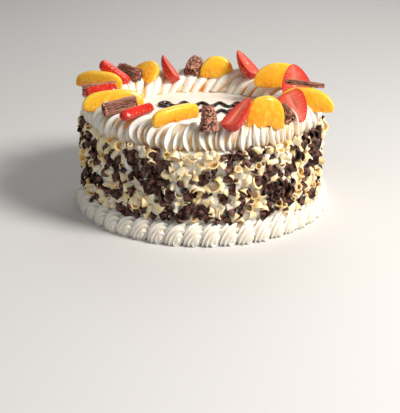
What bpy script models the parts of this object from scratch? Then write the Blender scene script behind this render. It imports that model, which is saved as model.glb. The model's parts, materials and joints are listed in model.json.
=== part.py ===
"""Round cream cake with a piped cream border round its top and its foot, curls of chocolate
on its side, and strawberries, peach slices and chocolate flakes in turn round the top border.

Metres, +Z up. The origin is the centre of the cake's flat foot, and -Y is its front.
"""
import math

import bmesh
import bpy
import numpy as np
from mathutils import Euler, Vector

# Clearance between pieces that touch
GAP = 0.0003

# Cake under the cream borders
BODY_RADIUS = 0.105
BODY_HEIGHT = 0.080
BODY_EDGE = 0.005
BODY_SIDES = 64
EDGE_STEPS = 3

# Rope border round the top: middle of its section, half width, rise, and lean of its crest
ROPE_RADIUS = 0.0885
ROPE_HALF_WIDTH = 0.0190
ROPE_RISE = 0.0205
ROPE_SPRING = 0.0028
ROPE_LEAN = 0.0040
ROPE_FOOT = 0.84
ROPE_COILS = 44
ROPE_COIL_PROFILE = (0.80, 0.97, 0.92, 1.00)
ROPE_SECTION_ANGLES = (0, 32, 66, 100, 140, 180)
ROPE_OUTER_SWEEP = math.radians(-3.6)
ROPE_INNER_SWEEP = math.radians(9.0)

# Shell border round the foot: each shell is a fan of ridges, with a crevice between two shells
SHELLS = 46
SHELL_REACH = 0.0112
SHELL_HEIGHT = 0.0210
SHELL_PROFILE = (0.62, 0.92, 1.00, 0.97, 0.84)
SHELL_SECTION = ((0.00, 0.00), (0.00, 0.80), (0.36, 1.00), (0.80, 0.69), (1.00, 0.21), (0.90, 0.00))
SHELL_SWEEP = math.radians(3.2)

# Curls of chocolate on the side, in staggered rows
CURL_ROWS = 4
CURLS_IN_ROW = 30
CURL_SEED = 41
CURL_FLOOR = SHELL_HEIGHT + 0.0012
CURL_CEILING = BODY_HEIGHT - 0.0012
CURL_REACH = 0.0070
CURL_WIDTH = (0.0080, 0.0120)
CURL_ARC_RADIUS = (0.0040, 0.0056)
CURL_ARC = (math.radians(170), math.radians(230))
CURL_THICKNESS = 0.0014
CURL_SEGMENTS = 3
CURL_STAND = 0.0022
CURL_STRAY = 0.0022

# Piped scroll on the flat top: two waved strands, each ending in a volute
SCROLL_THICKNESS = 0.0034
SCROLL_SIDES = 5
SCROLL_LIFT = 0.0008
SCROLL_STRANDS = ((0.033, 0.026, 4), (0.027, 0.002, 3))
SCROLL_WAVE = 0.0060
SCROLL_STEPS = 4
VOLUTE_RADIUS = 0.0075
VOLUTE_TURN = math.radians(300)
VOLUTE_STEPS = 6

# Slack that the toppings keep above the ridges of the rope
TOPPING_SLACK = 0.0009
SEAT_SIDES = 44

# Toppings in mm and degrees: (length, width, depth), (ring angle, radius, height of the middle),
# (turn from the outward direction, rise of the far end, lean about the length)
MM = 0.001
STRAWBERRIES = (
    ((37, 9, 7), (-125, 94, 103), (174, 0, 47)),
    ((34, 22, 12), (-73, 99, 111), (122, 32, 172)),
    ((32, 27, 10), (-37, 97, 104), (-24, -37, -147)),
    ((33, 31, 11), (2.5, 83, 110), (102, 52, 160)),
    ((33, 27, 12), (59, 83, 110), (69, 34, -159)),
    ((32, 21, 11), (112, 83, 104), (10, 31, -142)),
    ((33, 10, 8), (154, 90, 107), (-152, -36, 96)),
    ((30, 11, 8), (-172, 90, 102), (-168, 7, 52)),
)
SLICED_BERRIES = (0, 6, 7)
SLICE_BLUNTNESS = 0.85
PEACHES = (
    ((46, 14, 11), (-105, 83, 103), (142, 2, 88)),
    ((33, 28, 11), (-58, 97, 105), (73, -4, 74)),
    ((50, 21, 11), (-19, 95, 102), (1, -3, 70)),
    ((52, 25, 12), (26, 81, 105), (-24, 0, 70)),
    ((33, 22, 11), (80, 80, 101), (-78, 0, 76)),
    ((32, 24, 11), (129, 84, 101), (178, -12, 31)),
    ((46, 16, 11), (163, 99, 102), (-179, 1, 74)),
    ((54, 18, 12), (-154, 85, 102), (170, 2, 63)),
)
PEACH_BLUNTNESS = 2.6
PEACH_BEND = 0.12
PEACH_STRAIGHTNESS = 0.35
FLAKES = (
    ((19, 18, 18), (-87, 99, 106), (-165, 78, -18)),
    ((14, 12, 12), (-45, 98, 102), (-13, -25, 46)),
    ((32, 5, 5), (-17, 92, 115.7), (3, -3, 75)),
    ((13, 11, 11), (41, 92, 102.5), (-105, -9, 58)),
    ((16, 15, 15), (96, 84, 102), (-34, 32, 36)),
    ((24, 14, 14), (140, 90, 102), (-178, -4, 67)),
    ((28, 13, 13), (179, 92, 101), (-171, 5, 78)),
    ((28, 13, 13), (-139, 91, 104), (165, 7, 70)),
)
FLAKE_SEED = 7
FLAKE_FOLDS = 8


def finish(name, colour, roughness):
    """A plain surface of one colour."""
    material = bpy.data.materials.new(name)
    material.use_nodes = True
    shader = material.node_tree.nodes["Principled BSDF"]
    shader.inputs["Base Color"].default_value = (*colour, 1.0)
    shader.inputs["Roughness"].default_value = roughness
    shader.inputs["Metallic"].default_value = 0.0
    return material


def add_object(name, mesh, material=None):
    piece = bpy.data.objects.new(name, mesh)
    bpy.context.scene.collection.objects.link(piece)
    if material:
        mesh.materials.append(material)
    return piece


def loft(name, sections, ring=False):
    """A closed skin over sections that all have the same number of points."""
    mesh = bmesh.new()
    rows = [[mesh.verts.new(point) for point in section] for section in sections]
    count = len(rows[0])
    following = rows[1:] + rows[:1] if ring else rows[1:]
    for row, after in zip(rows, following):
        for i in range(count):
            j = (i + 1) % count
            mesh.faces.new((row[i], row[j], after[j], after[i]))
    if not ring:
        mesh.faces.new(rows[0])
        mesh.faces.new(rows[-1])
    bmesh.ops.recalc_face_normals(mesh, faces=mesh.faces)
    skin = bpy.data.meshes.new(name)
    mesh.to_mesh(skin)
    mesh.free()
    return skin


def polar(radius, angle, height):
    return Vector((radius * math.cos(angle), radius * math.sin(angle), height))


def main_body_only(mesh):
    """Fills sealed hollows and drops loose scraps: only the largest shell stays."""
    edit = bmesh.new()
    edit.from_mesh(mesh)
    unseen = set(edit.verts)
    shells = []
    while unseen:
        start = unseen.pop()
        shell = {start}
        reach = [start]
        while reach:
            for edge in reach.pop().link_edges:
                for vertex in edge.verts:
                    if vertex in unseen:
                        unseen.remove(vertex)
                        shell.add(vertex)
                        reach.append(vertex)
        shells.append(shell)
    largest = max(shells, key=len)
    scraps = [vertex for shell in shells if shell is not largest for vertex in shell]
    bmesh.ops.delete(edit, geom=scraps, context="VERTS")
    edit.to_mesh(mesh)
    edit.free()


def apply_boolean(piece, operation, tool=None, collection=None):
    cut = piece.modifiers.new(operation.lower(), "BOOLEAN")
    cut.operation = operation
    cut.solver = "EXACT"
    if collection:
        cut.operand_type = "COLLECTION"
        cut.collection = collection
    else:
        cut.object = tool
    evaluated = piece.evaluated_get(bpy.context.evaluated_depsgraph_get())
    result = bpy.data.meshes.new_from_object(evaluated)
    piece.modifiers.remove(cut)
    piece.data = result
    main_body_only(result)


def split_faces(mesh):
    """Cuts each face into triangles ear by ear, so that one with an inward corner keeps its outline."""
    edit = bmesh.new()
    edit.from_mesh(mesh)
    bmesh.ops.triangulate(edit, faces=edit.faces, ngon_method="EAR_CLIP")
    edit.to_mesh(mesh)
    edit.free()


def body_mesh():
    """Upright cylinder with a rounded top edge."""
    inset = BODY_RADIUS - BODY_EDGE
    shoulder = BODY_HEIGHT - BODY_EDGE
    profile = [(BODY_RADIUS, 0.0)]
    for step in range(EDGE_STEPS + 1):
        angle = math.pi / 2 * step / EDGE_STEPS
        profile.append((inset + BODY_EDGE * math.cos(angle), shoulder + BODY_EDGE * math.sin(angle)))
    angles = [2 * math.pi * side / BODY_SIDES for side in range(BODY_SIDES)]
    return loft("cake", [[polar(radius, angle, height) for angle in angles] for radius, height in profile])


def curl_mesh(width, arc_radius, arc):
    """A bent strip of chocolate, its arc about the x axis."""
    sections = []
    for step in range(CURL_SEGMENTS + 1):
        angle = arc * (step / CURL_SEGMENTS - 0.5)
        inner = arc_radius - CURL_THICKNESS
        sections.append([
            Vector((side * width / 2, radius * math.cos(angle), radius * math.sin(angle)))
            for side, radius in ((-1, inner), (1, inner), (1, arc_radius), (-1, arc_radius))
        ])
    return loft("curl", sections)


def add_curls(collection):
    """Curls in staggered rows, each turned its own way and sunk a little into the side."""
    draw = np.random.default_rng(CURL_SEED)
    row_height = (CURL_CEILING - CURL_FLOOR) / CURL_ROWS
    for row in range(CURL_ROWS):
        for place in range(CURLS_IN_ROW):
            mesh = curl_mesh(draw.uniform(*CURL_WIDTH), draw.uniform(*CURL_ARC_RADIUS), draw.uniform(*CURL_ARC))
            angle = 2 * math.pi * (place + 0.5 * (row % 2)) / CURLS_IN_ROW
            angle += draw.uniform(-CURL_STRAY, CURL_STRAY) / BODY_RADIUS
            height = CURL_FLOOR + row_height * (row + 0.5) + draw.uniform(-CURL_STRAY, CURL_STRAY)
            roll, pitch = draw.uniform(-math.pi, math.pi), draw.uniform(-0.6, 0.6)
            yaw = draw.choice((0.0, math.pi / 2)) + draw.uniform(-0.7, 0.7)
            turned = Euler((roll, pitch, 0.0)).to_matrix()
            turned = Euler((yaw, 0.0, angle)).to_matrix() @ Euler((0.0, 0.0, math.pi / 2)).to_matrix() @ turned
            centre = polar(BODY_RADIUS + CURL_STAND, angle, height)
            points = [centre + turned @ vertex.co for vertex in mesh.vertices]
            lowest = min(point.z for point in points)
            highest = max(point.z for point in points)
            lift = max(0.0, CURL_FLOOR - lowest) - max(0.0, highest - CURL_CEILING)
            outermost = max(math.hypot(point.x, point.y) for point in points)
            draw_in = max(0.0, outermost - BODY_RADIUS - CURL_REACH)
            curl = bpy.data.objects.new("curl", mesh)
            curl.matrix_world = turned.to_4x4()
            curl.location = centre + Vector((0.0, 0.0, lift)) - polar(draw_in, angle, 0.0)
            collection.objects.link(curl)


def scroll_path(half_length, offset, waves):
    """A wave along x that ends in a volute at each side, the same left and right."""
    half = []
    steps = waves * SCROLL_STEPS
    for step in range(steps + 1):
        along = step / steps
        x = half_length * along
        half.append((x, offset + SCROLL_WAVE * math.cos(math.pi * waves * along)))
    end_x, end_y = half[-1]
    side = 1.0 if end_y > offset else -1.0
    for step in range(1, VOLUTE_STEPS + 1):
        angle = VOLUTE_TURN * step / VOLUTE_STEPS
        radius = VOLUTE_RADIUS * (1.0 - 0.6 * step / VOLUTE_STEPS)
        x = end_x + radius * math.sin(angle)
        y = end_y - side * (VOLUTE_RADIUS - radius * math.cos(angle))
        half.append((x, y))
    return [(-x, y) for x, y in reversed(half[1:])] + half


def scroll_mesh(path):
    """A piped strand that lies on the top, a little sunk in."""
    points = [Vector((x, y, 0.0)) for x, y in path]
    sections = []
    for i, point in enumerate(points):
        ahead = points[min(i + 1, len(points) - 1)]
        behind = points[max(i - 1, 0)]
        forward = (ahead - behind).normalized()
        aside = Vector((-forward.y, forward.x, 0.0))
        middle = point + Vector((0.0, 0.0, BODY_HEIGHT + SCROLL_LIFT))
        section = []
        for side in range(SCROLL_SIDES):
            angle = 2 * math.pi * side / SCROLL_SIDES + math.pi / 2
            spread = SCROLL_THICKNESS / 2
            section.append(middle + aside * spread * math.cos(angle) + Vector((0, 0, spread * math.sin(angle))))
        sections.append(section)
    return loft("strand", sections)


def add_cake(material):
    cake = add_object("cake", body_mesh(), material)
    toppings = bpy.data.collections.new("on the cake")
    bpy.context.scene.collection.children.link(toppings)
    add_curls(toppings)
    for half_length, offset, waves in SCROLL_STRANDS:
        toppings.objects.link(bpy.data.objects.new("strand", scroll_mesh(scroll_path(half_length, offset, waves))))
    apply_boolean(cake, "UNION", collection=toppings)
    for piece in list(toppings.objects):
        bpy.data.objects.remove(piece)
    bpy.data.collections.remove(toppings)


def rope_sweep(turn):
    """How far a ridge runs round the ring from its crest, outward and inward."""
    if turn < 90:
        return ROPE_OUTER_SWEEP * math.sin(math.radians(90 - turn) * 1.5)
    return ROPE_INNER_SWEEP * (turn - 90) / 90


def rope_section(angle, scale, slack=0.0, sweep=rope_sweep):
    half_width = ROPE_HALF_WIDTH * scale + slack
    rise = ROPE_RISE * scale + slack
    section = []
    for turn in ROPE_SECTION_ANGLES:
        around = math.radians(turn)
        across = half_width * math.cos(around) + ROPE_LEAN * math.sin(around)
        height = BODY_HEIGHT + ROPE_SPRING + rise * math.sin(around)
        section.append(polar(ROPE_RADIUS + across, angle + sweep(turn), height))
    for side, turn in ((-1, 180), (1, 0)):
        radius = ROPE_RADIUS + side * half_width * ROPE_FOOT
        section.append(polar(radius, angle + sweep(turn), BODY_HEIGHT + GAP - slack))
    return section


def add_top_border(material):
    columns = ROPE_COILS * len(ROPE_COIL_PROFILE)
    sections = []
    for column in range(columns):
        scale = ROPE_COIL_PROFILE[column % len(ROPE_COIL_PROFILE)]
        sections.append(rope_section(2 * math.pi * column / columns, scale))
    add_object("top_border", loft("top_border", sections, ring=True), material)


def add_base_border(material):
    columns = SHELLS * len(SHELL_PROFILE)
    wall = BODY_RADIUS + GAP
    sections = []
    for column in range(columns):
        scale = SHELL_PROFILE[column % len(SHELL_PROFILE)]
        section = []
        for reach, height in SHELL_SECTION:
            angle = 2 * math.pi * column / columns + SHELL_SWEEP * reach
            section.append(polar(wall + SHELL_REACH * reach * scale, angle, SHELL_HEIGHT * height * scale))
        sections.append(section)
    add_object("base_border", loft("base_border", sections, ring=True), material)


def strawberry_mesh(length, width, depth, bluntness):
    """A cut berry: flat cut face at z = 0, domed skin above it, tip at +x."""
    widest = max(berry_swell(i / 50) for i in range(51))
    sections = []
    for station in (0.02, 0.12, 0.30, 0.52, 0.76, 0.97):
        slice_swell = math.sqrt(1.0 - abs(2.0 * station - 1.0) ** 5)
        swell = (1.0 - bluntness) * berry_swell(station) / widest + bluntness * slice_swell
        x = length * (station - 0.5)
        around = [math.pi * i / 5 for i in range(6)]
        sections.append([Vector((x, width / 2 * swell * math.cos(a), depth * swell * math.sin(a))) for a in around])
    return loft("strawberry", sections)


def berry_swell(along):
    return (1.0 - along) ** 0.62 * (along + 0.015) ** 0.22


def peach_mesh(length, width, depth):
    """A slice of peach: a bent lens with blunt ends along x, thick at its outer rim."""
    sections = []
    for along in (-0.99, -0.86, -0.55, -0.18, 0.18, 0.55, 0.86, 0.99):
        x = length / 2 * along
        half = width / 2 * (1.0 - abs(along) ** PEACH_BLUNTNESS) ** (1.0 / PEACH_BLUNTNESS)
        middle = PEACH_BEND * width * (0.5 - along * along) + PEACH_STRAIGHTNESS * (half - width / 2)
        thick = depth / 2 * (1.0 - 0.35 * along * along) * max(half / (width / 2), 0.25)
        outline = ((-1.0, -0.40), (0.45, -0.82), (1.0, 0.0), (0.45, 0.82), (-1.0, 0.40))
        sections.append([Vector((x, middle + half * y, thick * side)) for y, side in outline])
    return loft("peach", sections)


def flake_mesh(length, width, depth, draw):
    """A crumpled stick of chocolate, folded along its length."""
    folds = draw.uniform(0.82, 1.16, FLAKE_FOLDS)
    sections = []
    for along in (-0.5, -0.2, 0.2, 0.5):
        section = []
        for fold in range(FLAKE_FOLDS):
            angle = 2 * math.pi * fold / FLAKE_FOLDS
            swell = folds[fold] * draw.uniform(0.94, 1.06) / 2
            x = length * (along + draw.uniform(-0.04, 0.04))
            section.append(Vector((x, width * swell * math.cos(angle), depth * swell * math.sin(angle))))
        sections.append(section)
    return loft("flake", sections)


def add_topping(name, mesh, place, lie, seat, material):
    """Sets a topping on the rope: what would sink into the ridges is taken off."""
    ring, radius, height = place
    turn, rise, lean = (math.radians(angle) for angle in lie)
    topping = add_object(name, mesh, material)
    topping.location = polar(radius * MM, math.radians(ring), height * MM)
    topping.rotation_euler = (lean, -rise, math.radians(ring) + turn)
    bpy.context.view_layer.update()
    apply_boolean(topping, "DIFFERENCE", tool=seat)
    return topping


def add_seat():
    """The smooth ring that wraps the rope's ridges, as a cutter."""
    sections = []
    for side in range(SEAT_SIDES):
        angle = 2 * math.pi * side / SEAT_SIDES
        sections.append(rope_section(angle, 1.0, TOPPING_SLACK, sweep=lambda turn: 0.0))
    seat = add_object("seat", loft("seat", sections, ring=True))
    seat.display_type = "WIRE"
    seat.hide_render = True
    return seat


def add_toppings():
    seat = add_seat()
    berry = finish("strawberry", (0.62, 0.03, 0.02), 0.35)
    peach = finish("peach", (0.90, 0.50, 0.06), 0.35)
    chocolate = finish("flaked chocolate", (0.16, 0.08, 0.055), 0.65)
    draw = np.random.default_rng(FLAKE_SEED)
    for i, (size, place, lie) in enumerate(STRAWBERRIES):
        bluntness = SLICE_BLUNTNESS if i in SLICED_BERRIES else 0.0
        mesh = strawberry_mesh(*(side * MM for side in size), bluntness)
        split_faces(add_topping(f"strawberry_{i + 1}", mesh, place, lie, seat, berry).data)
    for i, (size, place, lie) in enumerate(PEACHES):
        add_topping(f"peach_{i + 1}", peach_mesh(*(side * MM for side in size)), place, lie, seat, peach)
    for i, (size, place, lie) in enumerate(FLAKES):
        mesh = flake_mesh(*(side * MM for side in size), draw)
        add_topping(f"flake_{i + 1}", mesh, place, lie, seat, chocolate)


for existing in list(bpy.data.objects):
    bpy.data.objects.remove(existing)
add_cake(finish("cream under curls of chocolate", (0.55, 0.47, 0.38), 0.6))
add_top_border(finish("piped cream", (0.86, 0.80, 0.70), 0.5))
add_base_border(finish("piped cream at the foot", (0.84, 0.77, 0.66), 0.5))
add_toppings()
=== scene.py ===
"""Looks of the round cream cake: whipped cream, piped borders, chocolate curls and cut fruit."""
import json
import math

import bmesh
import bpy
import numpy as np
from mathutils import Euler, Matrix, Vector, noise

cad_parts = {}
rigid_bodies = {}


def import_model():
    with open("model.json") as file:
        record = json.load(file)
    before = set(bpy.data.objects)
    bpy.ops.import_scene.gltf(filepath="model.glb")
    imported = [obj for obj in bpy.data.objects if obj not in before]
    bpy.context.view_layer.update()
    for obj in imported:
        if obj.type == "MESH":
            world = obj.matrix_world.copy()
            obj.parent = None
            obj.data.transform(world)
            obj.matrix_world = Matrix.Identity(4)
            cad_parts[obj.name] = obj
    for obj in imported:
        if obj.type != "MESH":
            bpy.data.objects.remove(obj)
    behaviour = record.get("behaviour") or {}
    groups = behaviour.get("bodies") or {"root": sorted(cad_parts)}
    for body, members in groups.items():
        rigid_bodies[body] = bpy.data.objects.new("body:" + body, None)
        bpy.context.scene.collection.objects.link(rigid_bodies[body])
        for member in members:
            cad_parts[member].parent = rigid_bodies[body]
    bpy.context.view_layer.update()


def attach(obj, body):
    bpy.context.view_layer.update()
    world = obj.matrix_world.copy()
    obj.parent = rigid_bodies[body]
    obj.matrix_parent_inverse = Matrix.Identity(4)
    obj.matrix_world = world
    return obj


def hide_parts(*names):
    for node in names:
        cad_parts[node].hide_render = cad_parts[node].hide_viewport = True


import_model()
scene = bpy.context.scene
scene.view_settings.view_transform = "Standard"

# Studio: a pale sweep of card under the cake, one large soft lamp to the front right,
# and paler light from the left and behind, so that the left side stays in shade.
CAMERA_PLACE = Vector((-0.0010, -0.8320, 0.3323))
CAMERA_TILT = math.radians(67.605)
CAMERA_ROLL = math.radians(0.54)
CAMERA_LENS = 83.88
CAMERA_SENSOR = 36.0
CARD_SIZE = 6.0
CARD_COLOUR = (0.68, 0.67, 0.66)
CARD_ROUGHNESS = 0.7
LAMPS = (
    ("key", (0.90, -0.48, 0.96), 0.50, 24.0, (1.0, 0.965, 0.92)),
    ("fill", (-0.6, -0.8, 1.1), 1.20, 2.2, (1.0, 0.97, 0.94)),
    ("back", (0.2, 1.1, 0.9), 1.00, 4.0, (1.0, 0.98, 0.95)),
)
LAMP_AIM = Vector((0.0, 0.0, 0.06))
ROOM_LIGHT = 0.19
ROOM_COLOUR = (0.97, 0.98, 1.0, 1.0)

camera_data = bpy.data.cameras.new("camera")
camera_data.lens = CAMERA_LENS
camera_data.sensor_width = CAMERA_SENSOR
camera = bpy.data.objects.new("camera", camera_data)
turned = Matrix.Rotation(CAMERA_TILT, 4, "X") @ Matrix.Rotation(CAMERA_ROLL, 4, "Z")
camera.matrix_world = Matrix.Translation(CAMERA_PLACE) @ turned
scene.collection.objects.link(camera)
scene.camera = camera

for name, place, size, power, colour in LAMPS:
    lamp_data = bpy.data.lights.new(name, "AREA")
    lamp_data.shape = "DISK"
    lamp_data.size = size
    lamp_data.energy = power
    lamp_data.color = colour
    lamp = bpy.data.objects.new(name, lamp_data)
    aim = LAMP_AIM - Vector(place)
    lamp.rotation_euler = aim.to_track_quat("-Z", "Y").to_euler()
    lamp.location = place
    scene.collection.objects.link(lamp)

room = bpy.data.worlds.new("room")
room.use_nodes = True
backdrop = room.node_tree.nodes["Background"]
backdrop.inputs["Color"].default_value = ROOM_COLOUR
backdrop.inputs["Strength"].default_value = ROOM_LIGHT
scene.world = room


def plain_finish(name, colour, roughness):
    """A Principled surface, returned with its tree and its shader."""
    material = bpy.data.materials.new(name)
    material.use_nodes = True
    shader = material.node_tree.nodes["Principled BSDF"]
    shader.inputs["Base Color"].default_value = (*colour, 1.0)
    shader.inputs["Roughness"].default_value = roughness
    return material, material.node_tree, shader


def grid_mesh(name, points, round_first=False, round_second=False):
    """Quads over a grid of points; a direction that closes on itself is round."""
    rows, columns = points.shape[:2]
    index = np.arange(rows * columns).reshape(rows, columns)
    ahead = np.roll(index, -1, 0) if round_first else index[1:]
    here = index if round_first else index[:-1]
    if round_second:
        faces = np.stack([here, np.roll(here, -1, 1), np.roll(ahead, -1, 1), ahead], -1)
    else:
        faces = np.stack([here[:, :-1], here[:, 1:], ahead[:, 1:], ahead[:, :-1]], -1)
    mesh = bpy.data.meshes.new(name)
    mesh.from_pydata(points.reshape(-1, 3).tolist(), [], faces.reshape(-1, 4).tolist())
    return mesh


def show(mesh, name, *materials):
    """A piece at the origin, with its place in its mesh."""
    piece = bpy.data.objects.new(name, mesh)
    scene.collection.objects.link(piece)
    for material in materials:
        mesh.materials.append(material)
    return piece


card_edge = CARD_SIZE / 2
card_points = np.array([[(-card_edge, -card_edge, 0), (card_edge, -card_edge, 0)],
                        [(-card_edge, card_edge, 0), (card_edge, card_edge, 0)]], float)
card_finish = plain_finish("pale_card", CARD_COLOUR, CARD_ROUGHNESS)[0]
card = show(grid_mesh("card", card_points), "card", card_finish)


# Cream coat: a thick coat of whipped cream over the whole cake, drawn flat on top with a
# palette knife. Whipped cream is soft and lets light in. The coat is warmer in random patches;
# the warm caramel in the folds of the borders is painted shade.
COAT_RADIUS = 0.1048
COAT_HEIGHT = 0.0797
COAT_EDGE = 0.005
COAT_EDGE_TURNS = np.radians([0, 22, 45, 68, 90])
COAT_SIDES = 360
COAT_RINGS = 44
COAT_SIDE_RINGS = 26
COAT_WAVE = 0.00035
COAT_STROKES = 55
COAT_RIPPLES = 160
COAT_STRETCH = 0.35
COAT_DABS = 0.0048
COAT_DAB_SCALE = 190.0
COAT_WARM_SCALE = 40
CREAM_LIGHT = (0.93, 0.885, 0.80)
# Warm: random warm tone on the coat, and painted shade in the creases of the borders. Caramel: painted shade
# in the deepest creases.
CREAM_TINT_AND_SHADE = (0.95, 0.60, 0.27)
CARAMEL_SHADE = (0.86, 0.33, 0.075)
CREAM_ROUGHNESS = 0.42
CREAM_GLOW = (0.45, (1.0, 0.62, 0.34), 0.0050)
CREAM_PATCHES = (60.0, 3.0, 0.35, 0.62, 0.35, 1.0)
CREAM_SHADE_DEEPEST = (0.55, 1.0, 0.0, 0.9)
CREAM_GRAIN = (900.0, 2.0, 0.15, 0.0004)


def added(tree, kind, inputs=(), **settings):
    """A node with its settings; each input is joined to a socket or set to a value."""
    node = tree.nodes.new(kind)
    for setting, value in settings.items():
        setattr(node, setting, value)
    for key, value in dict(inputs).items():
        if isinstance(value, bpy.types.NodeSocket):
            tree.links.new(value, node.inputs[key])
        else:
            node.inputs[key].default_value = value
    return node


def math_node(tree, operation, *values):
    """One step of arithmetic on sockets and numbers."""
    return added(tree, "ShaderNodeMath", enumerate(values), operation=operation).outputs[0]


def mixed_colour(tree, factor, first, second):
    """Mixes two colours; each is a socket or a fixed colour."""
    inputs = {"Factor": factor}
    for place, colour in ((6, first), (7, second)):
        inputs[place] = (*colour, 1.0) if isinstance(colour, tuple) else colour
    return added(tree, "ShaderNodeMix", inputs, data_type="RGBA").outputs[2]


def ranged(tree, value, low, high, start=0.0, end=1.0):
    """Maps low..high to start..end, held at both ends."""
    inputs = {"Value": value, "From Min": low, "From Max": high, "To Min": start, "To Max": end}
    return added(tree, "ShaderNodeMapRange", inputs).outputs["Result"]


def object_noise(tree, scale, detail):
    """Noise in the piece's own place, in cycles a metre."""
    place = added(tree, "ShaderNodeTexCoord").outputs["Object"]
    inputs = {"Vector": place, "Scale": scale, "Detail": detail}
    return added(tree, "ShaderNodeTexNoise", inputs).outputs["Fac"]


def attribute(tree, name):
    """A value that the mesh carries at each of its points."""
    return added(tree, "ShaderNodeAttribute", attribute_name=name).outputs["Fac"]


def colour_in(tree, shader, colour):
    tree.links.new(colour, shader.inputs["Base Color"])


def patches(tree, scale, detail, *limits):
    """Soft patches: how many to the metre, their detail, and the range they are held to."""
    return ranged(tree, object_noise(tree, scale, detail), *limits)


def grain(tree, shader, scale, detail, strength, depth, lines=None):
    """Relief too fine to model: grains to the metre, their detail, strength and depth."""
    height = object_noise(tree, scale, detail)
    if lines is not None:
        height = math_node(tree, "ADD", height, lines)
    relief = added(tree, "ShaderNodeBump", {"Strength": strength, "Distance": depth, "Height": height})
    tree.links.new(relief.outputs["Normal"], shader.inputs["Normal"])


def lets_light_in(shader, weight, radius, depth):
    """Light that goes in and comes out again nearby, further in red than in blue."""
    shader.inputs["Subsurface Weight"].default_value = weight
    shader.inputs["Subsurface Radius"].default_value = radius
    shader.inputs["Subsurface Scale"].default_value = depth


def cream_finish(name):
    """Whipped cream: satin, lets light in, and warmer where the attribute fold is high: painted caramel shade
    in the creases of the borders, random warm tone on the coat.
    """
    material, tree, shader = plain_finish(name, CREAM_LIGHT, CREAM_ROUGHNESS)
    lets_light_in(shader, *CREAM_GLOW)
    # Painted shade: fold turns the creases warm, and the deepest of them caramel.
    warmth = math_node(tree, "MULTIPLY", attribute(tree, "fold"), patches(tree, *CREAM_PATCHES))
    golden = mixed_colour(tree, warmth, CREAM_LIGHT, CREAM_TINT_AND_SHADE)
    caramel_share = ranged(tree, warmth, *CREAM_SHADE_DEEPEST)
    colour_in(tree, shader, mixed_colour(tree, caramel_share, golden, CARAMEL_SHADE))
    grain(tree, shader, *CREAM_GRAIN)
    return material


def set_attribute(mesh, name, values):
    layer = mesh.attributes.new(name, "FLOAT", "POINT")
    layer.data.foreach_set("value", np.asarray(values, np.float32))


def full_turn(count):
    """Angles in even steps once round."""
    return np.linspace(0, 2 * math.pi, count, endpoint=False)


def wavy(x, y, scale, seed):
    """Smooth noise from -1 to 1 at places in the plane."""
    return np.array([noise.noise(Vector((a * scale, b * scale, seed))) for a, b in zip(x, y)])


def closed_up(mesh, merge=0.0):
    """Joins points that meet, fills the open ends and turns every face outward."""
    edit = bmesh.new()
    edit.from_mesh(mesh)
    if merge:
        bmesh.ops.remove_doubles(edit, verts=edit.verts, dist=merge)
    bmesh.ops.holes_fill(edit, edges=edit.edges)
    bmesh.ops.recalc_face_normals(edit, faces=edit.faces)
    edit.to_mesh(mesh)
    edit.free()
    mesh.shade_smooth()
    return mesh


coat_angles = full_turn(COAT_SIDES)
coat_core = COAT_RADIUS - COAT_EDGE
coat_side = COAT_HEIGHT - COAT_EDGE
coat_profile = [(0.0, 0.0), (COAT_RADIUS * 0.6, 0.0), (COAT_RADIUS, 0.0)]
for step in range(1, COAT_SIDE_RINGS):
    coat_profile.append((COAT_RADIUS, coat_side * step / COAT_SIDE_RINGS))
for turn in COAT_EDGE_TURNS:
    coat_profile.append((coat_core + COAT_EDGE * math.cos(turn), coat_side + COAT_EDGE * math.sin(turn)))
for step in range(1, COAT_RINGS):
    coat_profile.append((coat_core * (1 - step / COAT_RINGS), COAT_HEIGHT))
coat_profile.append((0.0, COAT_HEIGHT))
coat_points = np.array([
    [(r * math.cos(a), r * math.sin(a), z) for a in coat_angles] for r, z in coat_profile])
coat_flat = coat_points.reshape(-1, 3)
on_top = coat_flat[:, 2] > COAT_HEIGHT - 0.0004
strokes = wavy(coat_flat[:, 0] * COAT_STRETCH, coat_flat[:, 1], COAT_STROKES, 3.0)
strokes = strokes + 0.5 * wavy(coat_flat[:, 0], coat_flat[:, 1], COAT_RIPPLES, 8.0)
coat_flat[:, 2] += np.where(on_top, COAT_WAVE * (strokes - 1.0) * 0.5, 0.0)
on_side = (coat_flat[:, 2] > 0.001) & (coat_flat[:, 2] < coat_side - 0.001)
dabs = np.array([noise.noise(Vector(place) * COAT_DAB_SCALE) for place in coat_flat])
dab_rise = COAT_DABS * np.clip(dabs + 0.05, 0, 1) / COAT_RADIUS
coat_flat[:, :2] *= 1.0 + np.where(on_side, dab_rise, 0.0)[:, None]
coat_mesh = closed_up(grid_mesh("cream_coat", coat_points, round_second=True), merge=1e-6)
coat_places = np.array([vertex.co for vertex in coat_mesh.vertices])
coat_warmth = 0.08 + 0.30 * wavy(coat_places[:, 0], coat_places[:, 1], COAT_WARM_SCALE, 1.0)
set_attribute(coat_mesh, "fold", np.clip(coat_warmth, 0, 1))
cream = cream_finish("whipped_cream")
coat = show(coat_mesh, "cream_coat", cream)
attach(coat, "root")
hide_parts("cake")


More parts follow.
